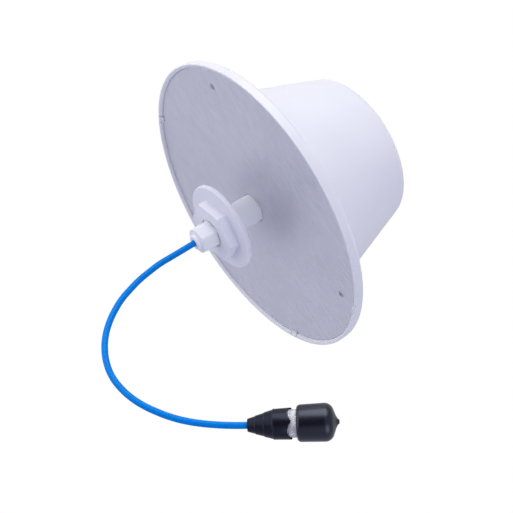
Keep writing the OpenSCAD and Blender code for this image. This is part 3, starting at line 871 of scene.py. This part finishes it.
@dataclass
class MouldedRadome:
    """Radome in its solid's shape, with a thinner lip: a round inner side and a crisp outer edge.

    Attributes:
        lip_in_r: Radius of the lip's inner wall, in the solid.
        rim_r: Radius of the rim.
        solid_bend: Radius of both of the lip's edges, in the solid.
        tab_r: Radius that the snap tabs stay outside of, in the solid.
        floor_z: Height of the ledge under the plate.
        inset: How far the inner wall moves out.
        crest_flat: Width of the flat crest.
        outer_bend: Radius of the outer edge.
        stretch: How much deeper the inner edge's round becomes.
        near: Room for rounding of the points' places.
    """

    lip_in_r: float = 101.0 * MM
    rim_r: float = 105.0 * MM
    solid_bend: float = 1.5 * MM
    tab_r: float = 99.5 * MM
    floor_z: float = -4.2 * MM
    inset: float = 1.3 * MM
    crest_flat: float = 0.3 * MM
    outer_bend: float = 0.5 * MM
    stretch: float = 1.3
    near: float = 0.01 * MM

    def drawn(self, r: float, z: float) -> tuple[float, float]:
        """Draws a point of the lip or a tab to its new place.

        Args:
            r: The point's radius.
            z: The point's height.

        Returns:
            The new radius and height.
        """
        inner_end = self.lip_in_r + self.solid_bend
        outer_start = self.rim_r - self.solid_bend
        crest_end = self.rim_r - self.outer_bend
        crest_start = crest_end - self.crest_flat
        if r > outer_start:
            share = self.outer_bend / self.solid_bend
            return crest_end + (r - outer_start) * share, z * share
        if r > inner_end:
            share = (r - inner_end) / (outer_start - inner_end)
            return crest_start + share * self.crest_flat, z
        new_z = z * self.stretch if z > -self.solid_bend - self.near else z
        if r < self.lip_in_r:
            return r + self.inset, new_z
        wall_r = self.lip_in_r + self.inset
        share = (r - self.lip_in_r) / self.solid_bend
        return wall_r + share * (crest_start - wall_r), new_z

    def on_lip(self, r: float, z: float) -> bool:
        """Tells the lip and the tabs from the rest of the radome.

        Args:
            r: A point's radius.
            z: The point's height.

        Returns:
            Whether the point belongs to the lip or to a tab.
        """
        outside = r > self.rim_r - self.solid_bend
        lowest = -self.solid_bend if outside else self.floor_z
        return r > self.tab_r and z > lowest - self.near

    def build(self, material: Material) -> Piece:
        """Makes the radome.

        Args:
            material: Its finish.

        Returns:
            The radome.
        """
        mesh = frame["nodes"]["radome"].data.copy()
        mesh.name = "moulded_radome"
        for vertex in mesh.vertices:
            r = math.hypot(vertex.co.x, vertex.co.y)
            if self.on_lip(r, vertex.co.z):
                new_r, new_z = self.drawn(r, vertex.co.z)
                vertex.co = (vertex.co.x * new_r / r, vertex.co.y * new_r / r, new_z)
        mesh.update()
        radome = add_object("moulded_radome", mesh)
        return settle(radome, Matrix.Identity(4), BODY_ANTENNA, "radome", material)


@dataclass
class GroundPlate:
    """Brushed plate, drawn out to the narrow joint that shows between it and the lip.

    Attributes:
        rim_r: Radius of the plate, in the solid.
        reach: How far its rim is drawn out.
        weld: Distance within which points of the solid are one.
    """

    rim_r: float = 100.5 * MM
    reach: float = 1.6 * MM
    weld: float = 0.001 * MM

    def build(self, material: Material) -> Piece:
        """Makes the plate in its solid's shape, with the wider rim.

        Args:
            material: Its finish.

        Returns:
            The plate.
        """
        shape = bmesh.new()
        shape.from_mesh(frame["nodes"]["ground_plate"].data)
        bmesh.ops.remove_doubles(shape, verts=shape.verts, dist=self.weld)
        for vertex in shape.verts:
            r = math.hypot(vertex.co.x, vertex.co.y)
            if r > self.rim_r - self.reach:
                vertex.co.x *= 1 + self.reach / r
                vertex.co.y *= 1 + self.reach / r
        mesh = bpy.data.meshes.new("brushed_plate")
        shape.to_mesh(mesh)
        shape.free()
        mesh.polygons.foreach_set("use_smooth", [False] * len(mesh.polygons))
        plate = add_object("brushed_plate", mesh)
        place = Matrix.Identity(4)
        return settle(plate, place, BODY_ANTENNA, "ground_plate", material)


@dataclass
class PlateScrews(TurnedPiece):
    """Three countersunk screws with a cross recess, flush with the plate."""

    name: str = "cross_screws"
    node: str = "plate_screws"
    slot: str = "screw_steel"
    closed: bool = False
    sides: int = 96
    arc_steps: int = 3
    count: int = 3
    circle_r: float = 89.211 * MM
    top_z: float = -2.2 * MM
    first: float = math.radians(60.0)
    head_r: float = 2.4 * MM
    head_h: float = 1.2 * MM
    shank_r: float = 1.2 * MM
    length: float = 4.5 * MM
    edge_bend: float = 0.12 * MM
    arm_half_len: float = 1.44 * MM
    arm_half_w: float = 0.4 * MM
    recess_depth: float = 0.5 * MM
    recess_wall: float = 0.15 * MM
    recess_rows: int = 24

    def outline(self) -> list[Corner]:
        """Draws one screw.

        Returns:
            The outline, from its point to the middle of its head.
        """
        reach = self.arm_half_len + self.recess_wall
        face = [Corner(reach * k / self.recess_rows, 0.0) for k in range(self.recess_rows, -1, -1)]
        return [
            Corner(0.0, -self.length),
            Corner(self.shank_r, self.shank_r - self.length),
            Corner(self.shank_r, -self.head_h),
            Corner(self.head_r, 0.0, self.edge_bend),
            *face,
        ]

    def within(self, aside: float, half: float) -> float:
        """Returns how far a point lies down the recess's wall, from 0 at its edge to 1 at its floor."""
        return max(0.0, min(1.0, (half - abs(aside)) / self.recess_wall))

    def shaped(self, point: Vector) -> Vector:
        """Sinks a point of the head's face into the cross recess.

        Args:
            point: A point of the turned screw.

        Returns:
            Its place.
        """
        if point.z < 0.0:
            return point
        level_arm = self.within(point.x, self.arm_half_len) * self.within(point.y, self.arm_half_w)
        upright_arm = self.within(point.y, self.arm_half_len) * self.within(point.x, self.arm_half_w)
        return Vector((point.x, point.y, -self.recess_depth * max(level_arm, upright_arm)))

    def turned(self) -> Piece:
        """Makes one screw and repeats it round the plate.

        Returns:
            The screws as one piece.
        """
        screws = super().turned()
        aside = Matrix.Translation((self.circle_r, 0.0, self.top_z))
        shape = bmesh.new()
        for k in range(self.count):
            one = screws.data.copy()
            one.transform(Matrix.Rotation(self.first + FULL_TURN * k / self.count, 4, "Z") @ aside)
            shape.from_mesh(one)
            bpy.data.meshes.remove(one)
        shape.to_mesh(screws.data)
        shape.free()
        return screws


@dataclass
class FlangedNut(TurnedPiece):
    """One-piece hex nut with a broad round flange."""

    name: str = "flanged_nut"
    node: str = "mounting_nut"
    slot: str = "nut_white"
    body: str = BODY_NUT
    rest_z: float = 22.3 * MM
    turn: float = math.radians(11.5)
    sides: int = 720
    hex_corner: float = 0.4 * MM
    flange_r: float = 30.3 * MM
    flange_t: float = 3.6 * MM
    flange_edge: float = 1.0 * MM
    half: float = 18.25 * MM
    height: float = 10.7 * MM
    bore_r: float = 9.85 * MM
    chamfer: float = 0.4 * MM
    mouth_bend: float = 0.2 * MM
    foot_bend: float = 0.4 * MM
    top_bend: float = 0.45 * MM

    def outline(self) -> list[Corner]:
        """Draws the nut.

        Returns:
            The outline, from the bore's lower mouth round to the bore's wall.
        """
        mouth = self.bore_r + self.chamfer
        foot = self.half + 2 * self.foot_bend
        return [
            Corner(mouth, 0.0, self.mouth_bend),
            Corner(self.flange_r, 0.0, self.flange_edge),
            Corner(self.flange_r, self.flange_t, self.flange_edge),
            Corner(foot, self.flange_t, hexed=True),
            Corner(self.half, self.flange_t, self.foot_bend, hexed=True),
            Corner(self.half, self.height, self.top_bend, hexed=True),
            Corner(mouth, self.height, self.mouth_bend),
            Corner(self.bore_r, self.height - self.chamfer),
            Corner(self.bore_r, self.chamfer),
        ]


@dataclass
class GlandNut(TurnedPiece):
    """Small hex dome nut with a collar around the cable."""

    name: str = "gland_dome_nut"
    node: str = "gland_nut"
    slot: str = "gland_white"
    rest_z: float = 32.5 * MM
    turn: float = math.radians(-8.0)
    sides: int = 288
    hex_corner: float = 2.2 * MM
    half: float = 8.4 * MM
    hex_h: float = 11.9 * MM
    foot_bend: float = 0.3 * MM
    front_chamfer: float = 1.2 * MM
    chamfer_steps: int = 6
    collar_r: float = 5.2 * MM
    collar_h: float = 2.4 * MM
    collar_edge: float = 0.8 * MM
    collar_foot: float = 0.5 * MM
    exit_r: float = 2.82 * MM
    mouth_r: float = 2.2 * MM
    mouth_h: float = 0.7 * MM
    mouth_bend: float = 0.2 * MM
    thread_r: float = 6.0 * MM
    thread_h: float = 7.9 * MM

    def front(self) -> list[Corner]:
        """Draws the chamfer that is turned on the front of the hexagon.

        Returns:
            Its corners, from the shoulder to the front.
        """
        corner_r = self.half / math.cos(HEX_STEP / 2)
        shoulder = self.hex_h - self.front_chamfer
        corners: list[Corner] = []
        for k in range(self.chamfer_steps + 1):
            cut = self.front_chamfer * k / self.chamfer_steps
            corners.append(Corner(self.half, shoulder + cut, hexed=True, trim=corner_r - cut))
        return corners

    def outline(self) -> list[Corner]:
        """Draws the gland nut.

        Returns:
            The outline, from the thread's mouth round to the bore's cone.
        """
        top = self.hex_h + self.collar_h
        cone_h = self.thread_r - self.exit_r
        return [
            Corner(self.thread_r, 0.0, self.mouth_bend),
            Corner(self.half, 0.0, self.foot_bend, hexed=True),
            *self.front(),
            Corner(self.collar_r, self.hex_h, self.collar_foot),
            Corner(self.collar_r, top, self.collar_edge),
            Corner(self.mouth_r, top, self.mouth_bend),
            Corner(self.mouth_r, top - self.mouth_h),
            Corner(self.exit_r, top - self.mouth_h),
            Corner(self.exit_r, self.thread_h + cone_h),
            Corner(self.thread_r, self.thread_h),
        ]


@dataclass
class RidgedBoot(TurnedPiece):
    """Tapered rubber boot with ridges and a scalloped end, along the jack's axis."""

    name: str = "ridged_boot"
    node: str = "cable_boot"
    slot: str = "boot_black"
    arc_steps: int = 4
    length: float = 26.0 * MM
    tip_r: float = 3.8 * MM
    tip_bend: float = 0.5 * MM
    cone_len: float = 15.6 * MM
    shoulder_r: float = 9.0 * MM
    shoulder_step: float = 0.4 * MM
    end_r: float = 9.25 * MM
    end_bend: float = 0.3 * MM
    bore_r: float = 2.17 * MM
    sleeve_r: float = 8.35 * MM
    sleeve_at: float = 22.6 * MM
    hub_r: float = 7.2 * MM
    hub_at: float = 18.0 * MM
    ferrule_r: float = 3.17 * MM
    ferrule_at: float = 8.0 * MM
    ridges: int = 3
    ridge_h: float = 0.2 * MM
    ridge_w: float = 0.9 * MM
    ridge_top_w: float = 0.27 * MM
    ridge_foot_bend: float = 0.3 * MM
    ridge_top_bend: float = 0.25 * MM
    ridge_end_bend: float = 0.2 * MM
    scallops: int = 4
    scallop_depth: float = 2.4 * MM
    scallop_turn: float = math.radians(29.0)

    def cone(self) -> list[Corner]:
        """Draws the ridges of the cone.

        Returns:
            Their corners, from the tip to the shoulder.
        """
        slope = (self.shoulder_r - self.tip_r) / self.cone_len
        corners: list[Corner] = []
        for k in range(1, self.ridges + 1):
            z = self.cone_len * k / self.ridges
            r = self.tip_r + slope * z
            foot_r = r - self.ridge_h - slope * self.ridge_w
            corners += [
                Corner(foot_r, z - self.ridge_w, self.ridge_foot_bend),
                Corner(r, z - self.ridge_top_w, self.ridge_top_bend),
                Corner(r, z, self.ridge_end_bend),
            ]
        return corners

    def outline(self) -> list[Corner]:
        """Draws the boot before its end is scalloped.

        Returns:
            The outline, from the cable's hole over the outside and back through the hollow.
        """
        neck_r = self.shoulder_r - self.ridge_h / 2
        return [
            Corner(self.bore_r, 0.0),
            Corner(self.tip_r, 0.0, self.tip_bend),
            *self.cone(),
            Corner(neck_r, self.cone_len + self.shoulder_step, self.ridge_end_bend),
            Corner(self.end_r, self.length, self.end_bend),
            Corner(self.sleeve_r, self.length, self.end_bend / 2),
            Corner(self.sleeve_r, self.sleeve_at),
            Corner(self.hub_r, self.sleeve_at),
            Corner(self.hub_r, self.hub_at),
            Corner(self.ferrule_r, self.hub_at),
            Corner(self.ferrule_r, self.ferrule_at),
            Corner(self.bore_r, self.ferrule_at),
        ]

    def shaped(self, point: Vector) -> Vector:
        """Draws a point of the sleeve back by the scallop at its angle.

        Args:
            point: A point of the turned boot.

        Returns:
            Its place.
        """
        sector = FULL_TURN / self.scallops
        chord = self.end_r * math.sin(sector / 2)
        arc = (chord * chord + self.scallop_depth ** 2) / (2 * self.scallop_depth)
        angle = math.atan2(point.y, point.x) - self.scallop_turn
        aside = self.end_r * math.sin((angle % sector) - sector / 2)
        back = self.scallop_depth - arc + math.sqrt(arc * arc - aside * aside)
        share = (point.z - self.sleeve_at) / (self.length - self.sleeve_at)
        return Vector((point.x, point.y, point.z - max(share, 0.0) * back))


@dataclass
class KnurledJack(TurnedPiece):
    """Plated jack: stem, hub, a ring that is part smooth and part knurled, and the barrel."""

    name: str = "knurled_jack"
    node: str = "jack_body"
    slot: str = "jack_plated"
    # Eight sides to each tooth of the knurl
    sides: int = 512
    arc_steps: int = 3
    stem_r: float = 2.12 * MM
    stem_at: float = 12.0 * MM
    stem_bend: float = 0.1 * MM
    hub_r: float = 7.1 * MM
    hub_at: float = 18.1 * MM
    hub_bend: float = 0.2 * MM
    smooth_r: float = 8.15 * MM
    smooth_bend: float = 0.3 * MM
    groove_r: float = 7.85 * MM
    groove_w: float = 0.3 * MM
    groove_bend: float = 0.1 * MM
    groove_slope: float = 0.1 * MM
    ring_r: float = 8.25 * MM
    ring_at: float = 22.7 * MM
    knurl_at: float = 24.2 * MM
    ring_end: float = 28.7 * MM
    barrel_r: float = 7.9 * MM
    barrel_end: float = 43.7 * MM
    barrel_chamfer: float = 0.95 * MM
    bore_r: float = 4.1 * MM
    bore_at: float = 23.7 * MM
    stem_bore_r: float = 1.5 * MM
    teeth: int = 64
    knurl_depth: float = 0.22 * MM
    knurl_rows: int = 44
    near: float = 0.001 * MM

    def outline(self) -> list[Corner]:
        """Draws the jack before its ring is knurled.

        Returns:
            The outline, from the stem's end over the outside and back through the bore.
        """
        span = self.ring_end - self.knurl_at
        rows = range(self.knurl_rows + 1)
        knurl = [Corner(self.ring_r, self.knurl_at + span * k / self.knurl_rows) for k in rows]
        groove_at = self.knurl_at - self.groove_w
        return [
            Corner(self.stem_bore_r, self.stem_at),
            Corner(self.stem_r, self.stem_at, self.stem_bend),
            Corner(self.stem_r, self.hub_at),
            Corner(self.hub_r, self.hub_at, self.hub_bend),
            Corner(self.hub_r, self.ring_at),
            Corner(self.smooth_r, self.ring_at, self.smooth_bend),
            Corner(self.smooth_r, groove_at, self.groove_bend),
            Corner(self.groove_r, groove_at + self.groove_slope),
            *knurl,
            Corner(self.barrel_r, self.ring_end),
            Corner(self.barrel_r, self.barrel_end - self.barrel_chamfer),
            Corner(self.barrel_r - self.barrel_chamfer, self.barrel_end),
            Corner(self.bore_r, self.barrel_end),
            Corner(self.bore_r, self.bore_at),
            Corner(self.stem_bore_r, self.bore_at),
        ]

    def shaped(self, point: Vector) -> Vector:
        """Sinks a point of the ring into the crossed grooves of the knurl.

        Args:
            point: A point of the turned jack.

        Returns:
            Its place.
        """
        on_ring = abs(math.hypot(point.x, point.y) - self.ring_r) < self.near
        if not on_ring or not self.knurl_at <= point.z <= self.ring_end:
            return point
        pitch = FULL_TURN * self.ring_r / self.teeth
        around = math.atan2(point.y, point.x) * self.teeth / FULL_TURN
        along = (point.z - self.knurl_at) / pitch
        crossed = (around + along, around - along)
        height = 2 * min(abs(x - round(x)) for x in crossed)
        share = (self.ring_r - self.knurl_depth * (1 - height)) / self.ring_r
        return Vector((point.x * share, point.y * share, point.z))


@dataclass
class DippedCap(TurnedPiece):
    """Soft dust cap: a flaring sleeve, a round shoulder, a cone and a nipple."""

    name: str = "dipped_cap"
    node: str = "dust_cap"
    slot: str = "cap_black"
    closed: bool = False
    sides: int = 192
    arc_steps: int = 10
    start: float = 28.8 * MM
    tip: float = 53.5 * MM
    open_r: float = 10.75 * MM
    edge_bend: float = 2.2 * MM
    far_r: float = 11.3 * MM
    shoulder_at: float = 44.9 * MM
    shoulder_bend: float = 5.5 * MM
    slope: float = math.radians(20.0)
    foot_r: float = 3.6 * MM
    foot_bend: float = 2.2 * MM
    nipple_r: float = 1.3 * MM
    nipple_h: float = 0.9 * MM
    nipple_flare: float = 0.4 * MM
    nipple_bend: float = 0.8 * MM
    bore_r: float = 7.95 * MM
    bore_end: float = 43.8 * MM
    bore_bend: float = 0.5 * MM
    mouth_bend: float = 0.3 * MM

    def outline(self) -> list[Corner]:
        """Draws the cap.

        Returns:
            The outline, from the bore's end on the axis, out over the edge and up to the tip.
        """
        bend = self.shoulder_bend
        cone_r = self.far_r - bend + bend * math.sin(self.slope)
        cone_z = self.shoulder_at + bend * math.cos(self.slope)
        foot_z = cone_z + (cone_r - self.foot_r) * math.tan(self.slope)
        peak_z = cone_z - (self.far_r - cone_r) * math.tan(self.slope)
        return [
            Corner(0.0, self.bore_end),
            Corner(self.bore_r, self.bore_end, self.bore_bend),
            Corner(self.bore_r, self.start, self.mouth_bend),
            Corner(self.open_r, self.start, self.edge_bend),
            Corner(self.far_r, peak_z, bend),
            Corner(self.foot_r, foot_z, self.foot_bend),
            Corner(self.nipple_r + self.nipple_flare, self.tip - self.nipple_h, self.nipple_bend),
            Corner(self.nipple_r, self.tip, self.nipple_h),
            Corner(0.0, self.tip),
        ]


@dataclass
class Finishes:
    """The finishes of the part, each made once.

    Attributes:
        brush: Direction of the plate's brushing about Z.
    """

    brush: float = math.radians(150.0)

    def plastics(self) -> list[Finish]:
        """Returns the moulded and turned plastics."""
        return [
            MouldedPlastic("radome_white", (0.69, 0.695, 0.74), (0.71, 0.715, 0.755)),
            MouldedPlastic("nut_white", (0.69, 0.70, 0.77), (0.71, 0.72, 0.79)),
            # The stud's white is lighter than the radome's: painted light that makes up for the shade
            # under the nut's flange
            MouldedPlastic("stud_white", (0.76, 0.77, 0.81), (0.79, 0.80, 0.83)),
            MouldedPlastic("gland_white", (0.77, 0.78, 0.82), (0.80, 0.81, 0.84), 0.48, 0.58),
            MouldedPlastic("seal_white", (0.66, 0.66, 0.68), (0.72, 0.72, 0.74), 0.5, 0.62),
            MouldedPlastic("insulator_white", (0.78, 0.77, 0.73), (0.84, 0.83, 0.79), 0.4, 0.55),
        ]

    def metals(self) -> list[Finish]:
        """Returns the metals."""
        return [
            WorkedMetal(
                "plate_aluminium", (0.66, 0.66, 0.71), (0.79, 0.79, 0.84), 0.34, 0.46,
                marks=Grain.STRAIGHT, density=1100.0, turn=self.brush, relief=0.42 * MM,
            ),
            WorkedMetal(
                "radiator_sheet", (0.55, 0.55, 0.57), (0.68, 0.68, 0.70), 0.3, 0.45, density=2500.0
            ),
            WorkedMetal(
                "screw_steel", (0.40, 0.38, 0.38), (0.50, 0.48, 0.48), 0.4, 0.55, density=3000.0
            ),
            WorkedMetal("fastener_steel", (0.5, 0.5, 0.52), (0.64, 0.64, 0.66), 0.28, 0.42),
            WorkedMetal("feed_brass", (0.62, 0.46, 0.2), (0.76, 0.6, 0.3), 0.25, 0.4),
            WorkedMetal("contact_gold", (0.76, 0.55, 0.2), (0.9, 0.7, 0.32), 0.15, 0.28),
            WorkedMetal("jack_plated", (0.46, 0.46, 0.48), (0.56, 0.56, 0.58), 0.32, 0.42),
        ]

    def skins(self) -> list[Finish]:
        """Returns the soft skins of the cable, the boot and the cap."""
        return [
            SoftSkin(
                "cable_blue", (0.0, 0.175, 0.60), (0.0, 0.195, 0.65), 0.2, 0.28,
                wave_depth=0.02 * MM, texture=1800.0, gloss=0.06,
            ),
            # The boot's bluish colour of mirrored light is a painted sheen, standing in for the room's
            # bluish light
            SoftSkin(
                "boot_black", (0.003, 0.003, 0.006), (0.005, 0.005, 0.009), 0.26, 0.34,
                wave_depth=0.04 * MM, texture=1600.0, gloss=0.3, painted_sheen_tint=(0.62, 0.7, 1.0),
            ),
            # The cap's bluish colour of mirrored light is a painted sheen, standing in for the room's
            # bluish light
            SoftSkin(
                "cap_black", (0.002, 0.002, 0.004), (0.004, 0.004, 0.007), 0.25, 0.3,
                wave_depth=0.04 * MM, texture=1200.0, gloss=0.6, painted_sheen_tint=(0.72, 0.78, 1.0),
            ),
        ]

    def make(self) -> dict[str, Material]:
        """Returns each finish's material by the record's slot."""
        finishes = self.plastics() + self.metals() + self.skins()
        return {finish.name: finish.make() for finish in finishes}


def dress_solids(finishes: dict[str, Material]) -> None:
    """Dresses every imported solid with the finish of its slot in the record.

    Args:
        finishes: Materials by slot.
    """
    for entry in frame["record"]["subparts"]:
        dress(frame["nodes"][entry["node"]], finishes[entry["material_slot"]])
        LOG.info("%s takes %s", entry["node"], entry["material_slot"])


def main() -> None:
    """Builds the studio and the part's pieces in order."""
    logging.basicConfig(level=logging.INFO, format="%(message)s")
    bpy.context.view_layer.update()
    Studio().build()
    finishes = Finishes().make()
    pigtail = Pigtail()
    cable = pigtail.build(finishes["cable_blue"])
    dress_solids(finishes)
    MouldedRadome().build(finishes["radome_white"])
    GroundPlate().build(finishes["plate_aluminium"])
    for fitting in (PlateScrews(), FlangedNut(), GlandNut()):
        fitting.build(Matrix.Identity(4), finishes)
    on_jack = (RidgedBoot(), KnurledJack(), DippedCap())
    carried = [fitting.build(pigtail.jack_place(), finishes) for fitting in on_jack]
    pigtail.declare()
    bpy.context.view_layer.update()


if __name__ == "__main__":
    main()
